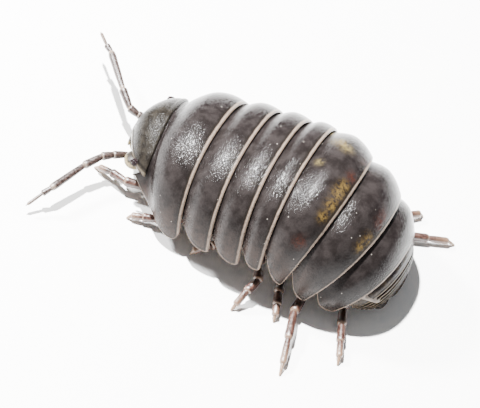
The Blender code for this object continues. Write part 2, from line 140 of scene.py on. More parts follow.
def closeAtSides(count, power):
    # the same to either side of the middle, from -1 to 1
    s = np.linspace(-1, 1, count)
    return np.sign(s) * (1 - (1 - np.abs(s)) ** power)


# Meshes from grids

def gridQuads(index):
    # the four corners of each cell of a grid of point numbers
    return np.stack([index[:-1, :-1], index[:-1, 1:], index[1:, 1:], index[1:, :-1]],
                    axis=-1).reshape(-1, 4)


def shellOf(outer, inner, values):
    # a closed thin shell: two grids that share their border points
    rows, columns = outer.shape[:2]
    front = np.arange(rows * columns).reshape(rows, columns)
    rear = front.copy()
    rear[1:-1, 1:-1] = rows * columns + np.arange((rows - 2) * (columns - 2)).reshape(
        rows - 2, columns - 2)
    points = np.concatenate([outer.reshape(-1, 3), inner[1:-1, 1:-1].reshape(-1, 3)])
    kept = {key: np.concatenate([value.reshape(-1), value[1:-1, 1:-1].reshape(-1)])
            for key, value in values.items()}
    kept["inside"] = np.concatenate([np.zeros(rows * columns), np.ones((rows - 2) * (columns - 2))])
    return points, np.concatenate([gridQuads(front), gridQuads(rear)[:, ::-1]]), kept


def tubeOf(rings, values):
    # a closed tube: the rings joined round and one after another, each end drawn to a point
    count, around = rings.shape[:2]
    index = np.arange(count * around).reshape(count, around)
    index = np.concatenate([index, index[:, :1]], axis=1)
    ends = np.stack([rings[0].mean(axis=0), rings[-1].mean(axis=0)])
    first = np.full(around, count * around)
    caps = [np.stack([first, index[0, 1:], index[0, :-1], index[0, :-1]], axis=-1),
            np.stack([first + 1, index[-1, :-1], index[-1, 1:], index[-1, 1:]], axis=-1)]
    points = np.concatenate([rings.reshape(-1, 3), ends])
    kept = {key: np.concatenate([value.reshape(-1), [value[0].mean(), value[-1].mean()]])
            for key, value in values.items()}
    return points, np.concatenate([gridQuads(index)] + caps), kept


def facingOut(points, faces):
    # turns the faces round where the volume they enclose is negative
    a, b, c, d = (points[faces[:, k]] for k in range(4))
    volume = np.sum(a * np.cross(b, c)) + np.sum(a * np.cross(c, d))
    return faces if volume > 0 else faces[:, ::-1]


def joinShells(shells):
    # several closed shells as one set of points, faces and values
    keys = sorted({key for shell in shells for key in shell[2]})
    points, faces, values, start = [], [], {key: [] for key in keys}, 0
    for shellPoints, shellFaces, shellValues in shells:
        points.append(shellPoints)
        faces.append(facingOut(shellPoints, shellFaces) + start)
        for key in keys:
            values[key].append(shellValues.get(key, np.zeros(len(shellPoints))))
        start += len(shellPoints)
    return (np.concatenate(points), np.concatenate(faces),
            {key: np.concatenate(value) for key, value in values.items()})


def addPiece(name, shells, material, slotName, *nodes):
    # one object on the body root, its points turned into the frame's metres
    points, faces, values = joinShells(shells)
    corners = [face[:3] if face[3] == face[2] else face for face in faces.tolist()]
    mesh = bpy.data.meshes.new(name)
    mesh.from_pydata(((points + back["crestAt"]) * mm).tolist(), [], corners)
    for key, value in values.items():
        layer = mesh.attributes.new(key, "FLOAT", "POINT")
        layer.data.foreach_set("value", value.astype(np.float32))
    mesh.shade_smooth()
    mesh.materials.append(material)
    obj = bpy.data.objects.new(name, mesh)
    bpy.context.scene.collection.objects.link(obj)
    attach(obj, "root")
    if nodes:
        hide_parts(*nodes)


# Material graphs

def addNode(tree, kind, inputs=None, **settings):
    node = tree.nodes.new(kind)
    for key, value in settings.items():
        setattr(node, key, value)
    for key, value in (inputs or {}).items():
        if isinstance(value, bpy.types.NodeSocket):
            tree.links.new(value, node.inputs[key])
        else:
            node.inputs[key].default_value = value
    return node


def startMaterial(name, shaderValues):
    mat = bpy.data.materials.new(name)
    mat.use_nodes = True
    tree = mat.node_tree
    shader = tree.nodes["Principled BSDF"]
    for key, value in shaderValues.items():
        shader.inputs[key].default_value = value
    place = addNode(tree, "ShaderNodeTexCoord").outputs["Object"]
    return mat, tree, shader, place


def noise(tree, place, size, detail=3.0, rough=0.55):
    # noise whose blotches are about size millimetres across
    node = addNode(tree, "ShaderNodeTexNoise", {"Vector": place, "Scale": 1 / (size * mm),
                                                "Detail": detail, "Roughness": rough})
    return node.outputs["Fac"]


def cells(tree, place, size):
    # scattered points about size millimetres apart: distance to the nearest, and its colour
    return addNode(tree, "ShaderNodeTexVoronoi", {"Vector": place, "Scale": 1 / (size * mm)})


def stepped(tree, value, low, high, start=0.0, end=1.0):
    # value carried smoothly from start at low to end at high
    node = addNode(tree, "ShaderNodeMapRange", {"Value": value, "From Min": low, "From Max": high,
                                                "To Min": start, "To Max": end},
                   interpolation_type="SMOOTHSTEP")
    return node.outputs["Result"]


def sums(tree, operation, a, b, clamp=False):
    node = addNode(tree, "ShaderNodeMath", {0: a, 1: b}, operation=operation, use_clamp=clamp)
    return node.outputs[0]


def times(tree, a, b, clamp=False):
    return sums(tree, "MULTIPLY", a, b, clamp)


def blendColour(tree, factor, a, b):
    node = tree.nodes.new("ShaderNodeMix")
    node.data_type = "RGBA"
    for socket, value in ((node.inputs[0], factor), (node.inputs[6], a), (node.inputs[7], b)):
        if isinstance(value, bpy.types.NodeSocket):
            tree.links.new(value, socket)
        elif isinstance(value, tuple):
            socket.default_value = (*value, 1.0)
        else:
            socket.default_value = value
    return node.outputs[2]


def carried(tree, name):
    # a value stored on the piece's points
    return addNode(tree, "ShaderNodeAttribute", attribute_name=name).outputs["Fac"]


def bumpy(tree, shader, height, depth):
    # bump of the given depth in millimetres
    node = addNode(tree, "ShaderNodeBump", {"Height": height, "Distance": depth * mm,
                                            "Strength": 1.0})
    tree.links.new(node.outputs["Normal"], shader.inputs["Normal"])


def between(tree, value, rise, fall):
    # 1 from rise to fall, both pairs of levels
    return times(tree, stepped(tree, value, *rise), stepped(tree, value, *fall))


def twoTones(tree, mottle, look):
    return blendColour(tree, stepped(tree, mottle, *look["mottled"]), look["dark"], look["light"])


def grainsOf(tree, place, look):
    # 1 at scattered points, falling to 0 around them
    near = cells(tree, place, look["grainSize"]).outputs["Distance"]
    return stepped(tree, near, 0.0, look["grainReach"], 1.0, 0.0)


def finishLook(tree, shader, colour, fine, height, look, low=0.3, high=0.7):
    # the colour, a roughness that follows fine, and a bump from height
    tree.links.new(colour, shader.inputs["Base Color"])
    rough = stepped(tree, fine, low, high, *look["roughness"])
    tree.links.new(rough, shader.inputs["Roughness"])
    bumpy(tree, shader, height, look["depth"])


# Plates' horn: colours, sizes in millimetres, and the levels between which each noise,
# distance or carried value takes effect
horn = dict(
    light=(0.0135, 0.0112, 0.0108),    # grey-brown of the back
    dark=(0.0058, 0.0046, 0.0044),
    flank=(0.024, 0.0145, 0.0112),     # browner towards the edges
    rim=(0.160, 0.120, 0.093),
    line=(0.006, 0.005, 0.004),        # painted shade: dark line behind the pale rim, for the shadow of the rim's step
    fleck=(0.40, 0.37, 0.33),
    ochre=(0.075, 0.048, 0.014),
    rust=(0.026, 0.009, 0.006),
    yellow=(0.095, 0.073, 0.028),
    inside=(0.08, 0.06, 0.045),
    mottleSize=0.55, fineSize=0.09, patchSize=0.16, fleckSize=0.34, grainSize=0.055,
    waver=0.10,                        # how far the mottling moves the rim band and its line
    mottled=(0.35, 0.68), speckled=(0.56, 0.70), speckle=0.5,
    flankFall=(0.45, 1.05), flankMottled=(0.25, 0.6),
    fleckChosen=(0.62, 0.66), fleckReach=(0.03, 0.10), flecked=0.5, marked=(0.34, 0.62),
    # where the painted shade line behind the rim lies, and how dark it is
    lineFrom=(0.17, 0.22), lineTo=(0.34, 0.24), lined=0.7,
    rimReach=(0.13, 0.20), rimmed=0.9, rimFine=(0.25, 0.55), rimLeast=0.45,
    grainReach=0.75, grainShare=0.7, fineShare=0.6, depth=0.0105,
    roughness=(0.10, 0.22),
)


def hornMaterial(name, look):
    # granular mottled horn: pale rim band with a painted shade line behind it, browner flanks,
    # scattered pale flecks, and ochre, rust or yellow where the points say so
    mat, tree, shader, place = startMaterial(name, {"Specular IOR Level": 0.13, "IOR": 1.4})
    mottle = noise(tree, place, look["mottleSize"], 4.0, 0.65)
    fine = noise(tree, place, look["fineSize"], 3.0, 0.6)
    flank = times(tree, stepped(tree, carried(tree, "flank"), *look["flankFall"]),
                  stepped(tree, mottle, *look["flankMottled"]))
    colour = blendColour(tree, flank, twoTones(tree, mottle, look), look["flank"])
    speckle = stepped(tree, fine, *look["speckled"], 0.0, look["speckle"])
    colour = blendColour(tree, speckle, colour, look["dark"])
    spots = cells(tree, place, look["fleckSize"])
    chosen = stepped(tree, addNode(tree, "ShaderNodeSeparateColor", {
        "Color": spots.outputs["Color"]}).outputs[0], *look["fleckChosen"])
    fleck = stepped(tree, spots.outputs["Distance"], *look["fleckReach"], look["flecked"], 0.0)
    colour = blendColour(tree, times(tree, chosen, fleck), colour, look["fleck"])
    patch = stepped(tree, noise(tree, place, look["patchSize"], 4.0, 0.7), *look["marked"])
    for mark in marks:
        mask = times(tree, carried(tree, mark), patch, True)
        colour = blendColour(tree, mask, colour, look[mark])
    edge = sums(tree, "ADD", carried(tree, "rim"), times(tree, mottle, look["waver"]))
    # painted shade: a dark line behind the rim band, standing for the shadow of the rim's step
    line = between(tree, edge, look["lineFrom"], look["lineTo"])
    colour = blendColour(tree, times(tree, line, look["lined"]), colour, look["line"])
    band = times(tree, stepped(tree, edge, *look["rimReach"], look["rimmed"], 0.0),
                 stepped(tree, fine, *look["rimFine"], look["rimLeast"], 1.0))
    colour = blendColour(tree, band, colour, look["rim"])
    colour = blendColour(tree, carried(tree, "inside"), colour, look["inside"])
    grains = times(tree, grainsOf(tree, place, look), look["grainShare"])
    height = sums(tree, "ADD", grains, times(tree, fine, look["fineShare"]))
    finishLook(tree, shader, colour, fine, height, look)
    return mat


# Body plates

plates = dict(
    columns=221, rows=56,
    columnPower=1.6, rowPower=1.9,     # they are closer together at the edges
    under=0.20,                        # a plate starts this far under the rim in front of it, mm
    step=0.15, rise=0.5,               # its depth there, and the share of its length it rises in
    thick=(0.11, 0.15), thickens=(0.2, 0.6),       # at the rim and inside, and from where to where
    swell=(0.34, 0.18, 0.16, 0.12, 0.20, 0.18, 0.12),
    # shares of the arch's height that the sides fall to at the front and rear; they are there
    # by the share deepest of the length, under 1 as it divides, then rise by the lift
    sideFront=(0.53, *6 * [0.82]), sideRear=(1.17, 1.085, 1.085, 1.075, 1.06, 1.04, 1.02),
    deepest=(0.85, *6 * [0.999]), sideLift=(0.08, *6 * [0]), sideBend=(2.4, *6 * [2.2]),
    cornerRound=0.06, cornerPower=30,
    sideReach=1.5,                     # length of half the arch in its heights
    soft=(0.07, 0.07, 0.07),           # roundings at the rim, the sides and the front
    sideRim=1.5, sideRimFrom=0.02,     # the rim band narrows along the sides by these
    bead=0.008, beadRise=0.05, beadFall=(0.07, 0.18),      # raised band along the rim
)

# The first plate's front follows the head's outline
collar = dict(
    ends=(0.10, 0.40), endsPower=3,    # shares of its length to where it leaves it: top, sides
    corner=(0.36, 0.10, -0.22), cornerFrom=0.86, farCorner=0.3,     # move of the front corners
    hangFrom=0.55, centreZ=1.2,
    outer=0.985, inner=0.945,          # shares to which each face draws the outline in
)

# Ochre, rust and yellow marks: place in the crest's frame and radius
marks = dict(
    ochre=((-1.87, 0.83, 5.42, 0.24), (-1.83, 1.33, 5.33, 0.27), (-1.83, 1.92, 5.10, 0.26),
           (-1.76, 2.44, 4.81, 0.22), (-3.80, 1.70, 4.12, 0.26), (-3.69, 2.15, 3.97, 0.22)),
    rust=((-3.92, 0.80, 4.38, 0.30), (-3.87, 0.29, 4.49, 0.26), (-1.97, 0.19, 5.44, 0.26),
          (-1.43, 3.47, 3.82, 0.30), (-2.14, -1.14, 5.21, 0.26), (-0.80, -1.30, 5.40, 0.22)),
    yellow=((-0.20, -2.18, 4.74, 0.26), (-0.67, -1.43, 5.40, 0.28), (-1.09, -1.13, 5.58, 0.26),
            (-0.45, 0.36, 5.45, 0.16)),
)


def markValues(points):
    # each mark is a round bump exp(-(distance / radius)^2), summed
    return {kind: sum(np.exp(-np.sum((points - spot[:3]) ** 2, axis=-1) / spot[3] ** 2)
                      for spot in spots) for kind, spots in marks.items()}


def toEdges(u, v, start, rim, length, height):
    # rough distances in millimetres to the rim, to the side and to the front edge
    toRim = (rim - u)[:, None] * length + 0 * v
    toSide = (1 - np.abs(v)) * plates["sideReach"] * height[:, None]
    toFront = (u - start)[:, None] * length + 0 * v
    return toRim, toSide, toFront


def fallOf(section, points):
    # how far points lie below the top of their arch, as a share of its height
    return (section["top"][:, 1:2] - points[..., 2]) / section["height"][:, None]


def collared(grid, shrink, u, v, pitch, hang):
    # the front of the grid blended into the head's outline, with a weight that falls along u
    # from 1 to 0 while its sides fall by hang
    ends = mix(collar["ends"], np.abs(v) ** collar["endsPower"])
    weight = (1 - smooth(u[:, None], 0, ends))[..., None]
    ring = headRings(np.zeros(1), v * np.pi / 2)[0] + np.zeros_like(grid)
    corner = smooth(np.abs(v), collar["cornerFrom"], 1.0) * np.where(v > 0, 1, collar["farCorner"])
    ring[..., 0] += corner * collar["corner"][0] - (u * pitch)[:, None]
    ring[..., 1] += corner * collar["corner"][1] * np.sign(v)
    ring[..., 2] += corner * collar["corner"][2]
    ring[..., 2] -= hang[:, None] * smooth(np.abs(v), collar["hangFrom"], 1.0)
    centre = ring * (1, 0, 0) + (0, 0, collar["centreZ"])
    return grid + (centre + (ring - centre) * shrink - grid) * weight


def bothFaces(section, limit, v, edges, soft, sink, thick, bead):
    # a plate's faces, whose sides end at limit, drawn together towards its three kinds of edge
    angle = archLimit(limit)[:, None] * v
    rounding = (softEdge(edges[0], soft[0]) * softEdge(edges[1], soft[1])
                * softEdge(edges[2], soft[2]))
    middle = sink[:, None] + thick / 2
    return (archPoints(section, angle, middle - rounding * (thick / 2 + bead)),
            archPoints(section, angle, middle + rounding * thick / 2))


def bodyPlate(k):
    # plate k over ring k + 1: arches sunk by step - swell 4 u (1 - u), with u from under the
    # rim in front to its own and v across, to where they fall by rear - (rear - front) (1 - u)^bend
    first, last = rimSection(k), rimSection(k + 1)
    pitch = back["pitch"][k]
    start = -plates["under"] / pitch
    u = start + (1 - start) * closeAtEnd(plates["rows"], plates["rowPower"])
    v = closeAtSides(plates["columns"], plates["columnPower"])
    share = np.clip(u, 0, 1)
    rear = plates["sideRear"][k] - plates["cornerRound"] * share ** plates["cornerPower"]
    deepest = plates["deepest"][k]
    fallen = (1 - np.clip(share / deepest, 0, 1)) ** plates["sideBend"][k]
    limit = rear - (rear - plates["sideFront"][k]) * fallen
    limit = limit - plates["sideLift"][k] * smooth(share, deepest, 1.0)
    section = sectionBetween(first, last, u)
    edges = toEdges(u, v, start, 1, pitch, section["height"])
    step = plates["step"] * (1 - smooth(u, 0, plates["rise"]))
    swell = plates["swell"][k] * np.clip(4 * u * (1 - u), 0, None)
    thick = mix(plates["thick"], smooth(edges[0], *plates["thickens"]))
    fromEdge = np.minimum(edges[0], plates["sideRim"] * edges[1] + plates["sideRimFrom"])
    bead = plates["bead"] * (smooth(fromEdge, 0, plates["beadRise"])
                             - smooth(fromEdge, *plates["beadFall"]))
    outer, inner = bothFaces(section, limit, v, edges, plates["soft"], step - swell, thick, bead)
    if k == 0:
        hang = (limit - limit[0]) * section["height"]
        outer = collared(outer, collar["outer"], u, v, pitch, hang)
        inner = collared(inner, collar["inner"], u, v, pitch, hang)
    values = dict(rim=fromEdge, flank=fallOf(section, outer), **markValues(outer))
    return shellOf(outer, inner, values)


# Tail: five narrow rings from the last body rim to the back of the tail, then the end plate
tail = dict(
    end=(-5.88, 1.36), endSlope=94.0, endHalfWidth=2.05, endHeight=1.02, endLean=44.0,
    rings=5, start=0.28,               # the first ring takes this share of the length
    columns=161, rows=26, rowPower=1.7, under=0.10, sink=0.14, step=0.07, rise=0.6, thick=0.08,
    sideFront=0.62, sideRear=1.0, sideBend=2.2, cornerRound=0.05, cornerPower=12,
    soft=(0.05, 0.06, 0.05),
    bead=0.012, beadFall=(0.08, 0.15), rimScale=1.7,       # the rim band is narrower by this
    look=dict(light=(0.034, 0.024, 0.0155), rim=(0.095, 0.070, 0.042)),
)


def tailSections():
    slope = np.radians(tail["endSlope"])
    last = dict(top=np.array(tail["end"]), slope=slope, lean=np.radians(tail["endLean"]),
                width=tail["endHalfWidth"], height=tail["endHeight"])
    return rimSection(7), last


def tailPlate(k):
    # ring k between its shares of the tail's length, built as a body plate is
    first, last = tailSections()
    length = np.linalg.norm(last["top"] - first["top"])
    low = tail["start"] * (k > 0) + (1 - tail["start"]) * k / tail["rings"]
    high = tail["start"] + (1 - tail["start"]) * (k + 1) / tail["rings"]
    start = low - tail["under"] / length
    u = start + (high - start) * closeAtEnd(tail["rows"], tail["rowPower"])
    v = closeAtSides(tail["columns"], plates["columnPower"])
    fallen = (1 - np.clip(u, 0, 1)) ** tail["sideBend"]
    limit = tail["sideRear"] - (tail["sideRear"] - tail["sideFront"]) * fallen
    onRing = np.clip((u - start) / (high - start), 0, 1)
    limit = limit - tail["cornerRound"] * onRing ** tail["cornerPower"]
    section = sectionBetween(first, last, u)
    edges = toEdges(u, v, start, high, length, section["height"])
    sink = tail["sink"] + tail["step"] * (1 - smooth(u, low, low + tail["rise"] * (high - low)))
    fromEdge = np.minimum(edges[0], edges[1])
    bead = tail["bead"] * (1 - smooth(fromEdge, *tail["beadFall"]))
    outer, inner = bothFaces(section, limit, v, edges, tail["soft"], sink, tail["thick"], bead)
    values = dict(rim=fromEdge * tail["rimScale"], flank=fallOf(section, outer),
                  **markValues(outer))
    return shellOf(outer, inner, values)


# End plate and side flaps: rear top, rear foot, front foot and front top in x and z, and y of
# their sides at the top and at the foot
flaps = dict(
    size=41, soft=0.16, crown=0.06, rim=0.12, rimScale=0.5, flank=0.9,
    telson=((-5.80, 0.98), (-5.60, 0.42), (-5.24, 0.42), (-5.48, 0.66)),
    telsonSides=(0.90, 0.26),
    uropod=((-5.62, 0.90), (-5.40, 0.46), (-5.12, 0.46), (-5.30, 0.60)),
    uropodSides=((0.95, 0.58), (1.80, 1.36)),
)


def flap(corners, near, far):
    # a plate with p across and q down, its faces drawn together towards all four edges, that
    # bulges by crown (1 - (2p - 1)^2)
    p = np.linspace(0, 1, flaps["size"])
    q = p[:, None]
    rearTop, rearLow, frontLow, frontTop = (np.array(c) for c in corners)
    rear = mix((rearTop, rearLow), q[..., None])
    front = mix((frontTop, frontLow), q[..., None])
    y = mix((mix(near, q), mix(far, q)), p)
    soft = flaps["soft"]
    rounding = np.sqrt(softEdge(p, soft) * softEdge(1 - p, soft) * softEdge(q, soft)
                       * softEdge(1 - q, soft))
    middle = (rear + front) / 2
    crown = -flaps["crown"] * (1 - (2 * p - 1) ** 2)
    outer = middle + (rear - middle) * rounding[..., None]
    inner = middle + (front - middle) * rounding[..., None]
    outer = np.stack([outer[..., 0] + crown, y, outer[..., 1]], axis=-1)
    inner = np.stack([inner[..., 0] + crown, y, inner[..., 1]], axis=-1)
    edge = flaps["rimScale"] * np.minimum(np.minimum(p, 1 - p), np.minimum(q, 1 - q))
    return shellOf(outer, inner, dict(rim=edge + flaps["rim"], flank=flaps["flank"] + 0 * edge))


# Belly: one soft skin between the plates, with a fold for each ring
belly = dict(rows=150, around=72, level=0.50, width=0.84, depth=0.16, fold=0.05, foldPower=6,
             taper=0.05, power=0.8)


def bellySkin():
    # superellipses inside the arch, from the neck to the tail: y = width sin^p and a rise of
    # depth cos^p, drawn in at each fold and to a point at both ends
    ends = [rimSection(i) for i in range(len(back["slope"]))] + [tailSections()[1]]
    t = np.linspace(0, len(ends) - 1 - 1e-6, belly["rows"])
    ring = t.astype(int)
    parts = [sectionBetween(ends[k], ends[k + 1], t[ring == k] - k) for k in range(len(ends) - 1)]
    section = {key: np.concatenate([part[key] for part in parts]) for key in parts[0]}
    angle = np.linspace(0, 2 * np.pi, belly["around"], endpoint=False)
    along = t / t[-1]
    taper = softEdge(np.minimum(along, 1 - along), belly["taper"])[:, None]
    fold = 1 - belly["fold"] * np.abs(np.cos(np.pi * t))[:, None] ** belly["foldPower"]
    side = np.sign(np.sin(angle)) * np.abs(np.sin(angle)) ** belly["power"]
    rise = np.sign(np.cos(angle)) * np.abs(np.cos(angle)) ** belly["power"]
    y = section["width"][:, None] * belly["width"] * side * taper
    down = section["height"][:, None] * (belly["level"] - belly["depth"] * rise * taper * fold)
    lean = section["lean"][:, None]
    x = section["top"][:, 0:1] + down * np.sin(lean)
    z = section["top"][:, 1:2] - down * np.cos(lean)
    return tubeOf(np.stack([x, y, z], axis=-1), {})


# Head, measured forward of the point it turns about, with its rear rim at rearAt. Pairs hold a
# form's two powers, or its values at the rear rim and at the brow
head = dict(
    rearAt=0.4, pivotX=5.99, turn=4.39, length=1.393, frontZ=1.259, roof=(2.373, 3.145),
    halfWidth=2.645, plan=(1.772, 1.223), widestZ=(2.048, 2.007), widestShare=0.62,
    power=(1.342, 1.781), underPower=2.2, under=(1.62, 1.12), lean=6.64,
    rings=120, around=200, ringPower=0.8, lastRing=0.9997,
    ridgeAt=0.11, ridge=0.035, ridgeWidth=0.05, ridgeFrom=(0.1, 0.4), upperFrom=(-0.02, 0.05),
    rimBead=0.03, beadRise=0.04, beadFall=(0.12, 0.24), inset=0.86, insetAt=0.12,
    eyeAt=(0.93, 2.20, 2.10), eyeSize=(0.20, 0.15, 0.16),
    lobeAt=(1.06, 1.44, 1.46), lobeSize=(0.46, 0.54, 0.30), lobeTurn=(8, -12),
    shieldAt=(1.70, 0.05, 1.22), shieldSize=(0.10, 0.50, 0.22),
    jawAt=(1.15, 0.30, 1.12), jawSize=(0.52, 0.30, 0.36), jawTurn=10,
    lipAt=(1.38, 0.0, 1.10), lipSize=(0.34, 0.34, 0.30), lipTurn=8,
)


def headTurned(forward, sideways):
    # the whole head is turned a little to its left
    turn = np.radians(head["turn"])
    x = head["pivotX"] + forward * np.cos(turn) - sideways * np.sin(turn)
    return x, forward * np.sin(turn) + sideways * np.cos(turn)


def headPlace(spot, side=1):
    # a spot of the head in the crest's frame, or its mirror image where side is -1
    x, y = headTurned(spot[0], spot[1] * side)
    return np.array([x, y, spot[2]])


def headRings(share, angle):
    # superellipse sections: their top falls as (1 - share^a)^(1/b) and their width likewise
    a, b = head["roof"]
    top = head["frontZ"] + (rimPlace[0][1] - head["frontZ"]) * (1 - share ** a) ** (1 / b)
    a, b = head["plan"]
    width = head["halfWidth"] * (1 - share ** a) ** (1 / b)
    under = mix(head["under"], share)
    middle = np.minimum(mix(head["widestZ"], share), under + head["widestShare"] * (top - under))
    upper = mix(head["power"], share)
    sine, cosine = np.sin(angle), np.cos(angle)
    power = np.where(cosine > 0, 2 / upper[:, None], 2 / head["underPower"])
    y = width[:, None] * np.sign(sine) * np.abs(sine) ** power
    rise = np.abs(cosine) ** power
    z = middle[:, None] + np.where(cosine > 0, rise * (top - middle)[:, None],
                                   -rise * (middle - under)[:, None])
    forward = head["rearAt"] + head["length"] * share[:, None] + (
        (z - top[:, None]) * np.tan(np.radians(head["lean"])) * (1 - share[:, None]))
    x, y = headTurned(forward, y)
    return np.stack([x, y, z], axis=-1)


def headSkin():
    # the rings from rear rim to brow, raised by exp(-((gap - at) / width)^2) along the side
    # outline and by a bead along the rear rim, and closed behind it
    angle = np.linspace(0, 2 * np.pi, head["around"], endpoint=False)
    share = np.sin(np.linspace(0, 1, head["rings"]) ** head["ringPower"] * np.pi / 2)
    rings = headRings(share * head["lastRing"], angle)
    outline = np.concatenate([rings[:, head["around"] // 4], rings[::-1, 3 * head["around"] // 4]])
    apart = rings[:, :, None] - outline[None, None, ::3]
    gap = np.sqrt(np.min(np.sum(apart ** 2, axis=-1), axis=2))
    above = smooth(np.cos(angle)[None, :], *head["upperFrom"]) + 0 * gap
    ridge = np.exp(-((gap - head["ridgeAt"]) / head["ridgeWidth"]) ** 2) * above
    fromRim = np.linalg.norm(rings - rings[:1], axis=-1)
    bead = smooth(fromRim, 0.0, head["beadRise"]) - smooth(fromRim, *head["beadFall"])
    ridge *= smooth(fromRim, *head["ridgeFrom"])
    lift = head["ridge"] * ridge + head["rimBead"] * bead * above
    rings = rings + gridNormals(rings) * lift[..., None]
    centre = rings[:1].mean(axis=1, keepdims=True)
    inset = centre + (rings[:1] - centre) * head["inset"]
    inset[..., 0] += head["insetAt"]
    return tubeOf(np.concatenate([inset, rings]), {"brow": np.concatenate([gap[:1], gap]),
                                                   "upper": np.concatenate([above[:1], above])})


def gridNormals(rings):
    # outward unit normals of a tube of rings, from its neighbours along and around
    along = np.gradient(rings, axis=0)
    around = np.roll(rings, -1, axis=1) - np.roll(rings, 1, axis=1)
    normal = unit(np.cross(around, along))
    centre = rings.mean(axis=1, keepdims=True)
    turnedIn = np.sum(normal * (rings - centre)) < 0
    return -normal if turnedIn else normal


def dome(centre, size, turn=0.0, rows=24, around=36):
    # ellipsoid, turned about the upright by turn degrees
    polar = np.linspace(0.03, np.pi - 0.03, rows)[:, None]
    angle = np.linspace(0, 2 * np.pi, around, endpoint=False)[None, :]
    local = np.stack([np.sin(polar) * np.cos(angle) * size[0], np.cos(polar) * size[1] + 0 * angle,
                      np.sin(polar) * np.sin(angle) * size[2]], axis=-1)
    c, s = np.cos(np.radians(turn)), np.sin(np.radians(turn))
    x = local[..., 0] * c - local[..., 1] * s
    y = local[..., 0] * s + local[..., 1] * c
    points = np.stack([x, y, local[..., 2]], axis=-1) + centre
    return tubeOf(points, {"high": np.sin(polar) * np.sin(angle)})


# Lenses in rows; outward is the way the left eye looks
eye = dict(outward=(0.25, 1, 0.45), rows=20, around=32, lensRadius=0.036, lensRows=8, lensAround=12,
           columnGap=0.072, rowGap=0.064, reach=2, lowest=0.12)


def eyeBead(side):
    # an ellipsoid set with rows of small lenses, each row moved by half a gap
    at = headPlace(head["eyeAt"], side)
    out = unit(np.array(eye["outward"]) * (1, side, 1))
    a = unit(np.cross(out, (0.0, 0.0, 1.0)))
    b = np.cross(out, a)
    width, depth, height = head["eyeSize"]
    polar = np.linspace(0.02, np.pi - 0.02, eye["rows"])[:, None]
    angle = np.linspace(0, 2 * np.pi, eye["around"], endpoint=False)[None, :]
    mound = (a * (np.sin(polar) * np.cos(angle))[..., None] * width
             + b * (np.sin(polar) * np.sin(angle))[..., None] * height
             + out * (np.cos(polar) + 0 * angle)[..., None] * depth)
    shells = [tubeOf(at + mound, {})]
    for row in range(-eye["reach"], eye["reach"] + 1):
        for column in range(-eye["reach"], eye["reach"] + 1):
            p = (column + 0.5 * (row % 2)) * eye["columnGap"]
            q = row * eye["rowGap"]
            level = 1 - (p / width) ** 2 - (q / height) ** 2
            if level < eye["lowest"]:
                continue
            centre = at + a * p + b * q + out * depth * np.sqrt(level)
            shells.append(dome(centre, (eye["lensRadius"],) * 3, rows=eye["lensRows"],
                               around=eye["lensAround"]))
    return shells


# Limbs: feelers and legs as chains of articles

def article(start, end, radiusA, radiusB, rows, around, thin=0.80, grows=0.20, full=0.55,
            bulge=0.08, bulgeAt=0.84, bulgeWidth=0.12, blunt=0.12, cap=0.012):
    # a club: its radius goes from radiusA to radiusB, thin where it leaves its joint, with a
    # bulge exp(-((t - at) / width)^2), and its ends are rounded in
    axis = end - start
    way = axis / np.linalg.norm(axis)
    across = unit(np.cross(way, (0.0, 0.0, 1.0)))
    up = np.cross(across, way)
    t = (1 - np.cos(np.linspace(0, np.pi, rows))) / 2
    club = thin + grows * smooth(t, 0.0, full) + bulge * np.exp(-((t - bulgeAt) / bulgeWidth) ** 2)
    radius = mix((radiusA, radiusB), t) * club
    radius = radius * np.sqrt(softEdge(t + cap, blunt) * softEdge(1 - t + cap, blunt))
    angle = np.linspace(0, 2 * np.pi, around, endpoint=False)
    centre = start + t[:, None] * axis
    ring = across * np.cos(angle)[:, None] + up * np.sin(angle)[:, None]
    points = centre[:, None] + radius[:, None, None] * ring[None]
    return tubeOf(points, {"along": t[:, None] + 0 * angle})


def addArticle(shells, joints, k, radiusA, radiusB, limb, overTip=1):
    # article k of a chain laps over both its joints; part tells its place from root to tip
    lap = unit(joints[k + 1] - joints[k]) * limb["lap"]
    shells.append(article(joints[k] - lap, joints[k + 1] + overTip * lap, radiusA, radiusB,
                          limb["rows"], limb["around"]))
    shells[-1][2]["part"] = np.full(len(shells[-1][0]), k / (len(joints) - 2))


def cones(roots, ways, length, radius, sides=5, waistAt=0.6, waist=0.55, tip=0.06):
    # small spines: each from its root along its way, narrowed to waist and tip of its radius
    ways = unit(ways)
    across = unit(np.cross(ways, (0.3, 0.2, 0.9)))
    up = np.cross(across, ways)
    angle = np.linspace(0, 2 * np.pi, sides, endpoint=False)
    ring = across[:, None] * np.cos(angle)[:, None] + up[:, None] * np.sin(angle)[:, None]
    shells = []
    for root, way, circle in zip(roots, ways, ring * radius):
        rings = np.stack([root + circle, root + way * length * waistAt + circle * waist,
                          root + way * length + circle * tip])
        shells.append(tubeOf(rings, {"along": np.full((3, sides), 0.5)}))
    return shells


# Joints from the head to the tip
feelers = dict(
    left=((7.36, 1.32, 1.32), (7.86, 1.80, 1.38), (8.22, 2.20, 1.38), (8.64, 3.04, 1.24),
          (9.24, 4.97, 1.04), (9.44, 5.28, 0.84), (9.75, 5.92, 0.50)),
    right=((7.45, -1.25, 1.32), (8.05, -1.04, 1.41), (8.50, -1.06, 1.52), (9.22, -1.64, 1.78),
           (10.65, -3.28, 1.84), (11.00, -3.55, 1.80), (11.58, -4.20, 1.66)),
    radius=(0.17, 0.18, 0.175, 0.165, 0.135, 0.085, 0.07), farShare=0.98,
    rows=22, around=20, lap=0.03,
    hairLength=0.16, hairRadius=0.012, hairSpread=0.25, hairSink=0.02,
)


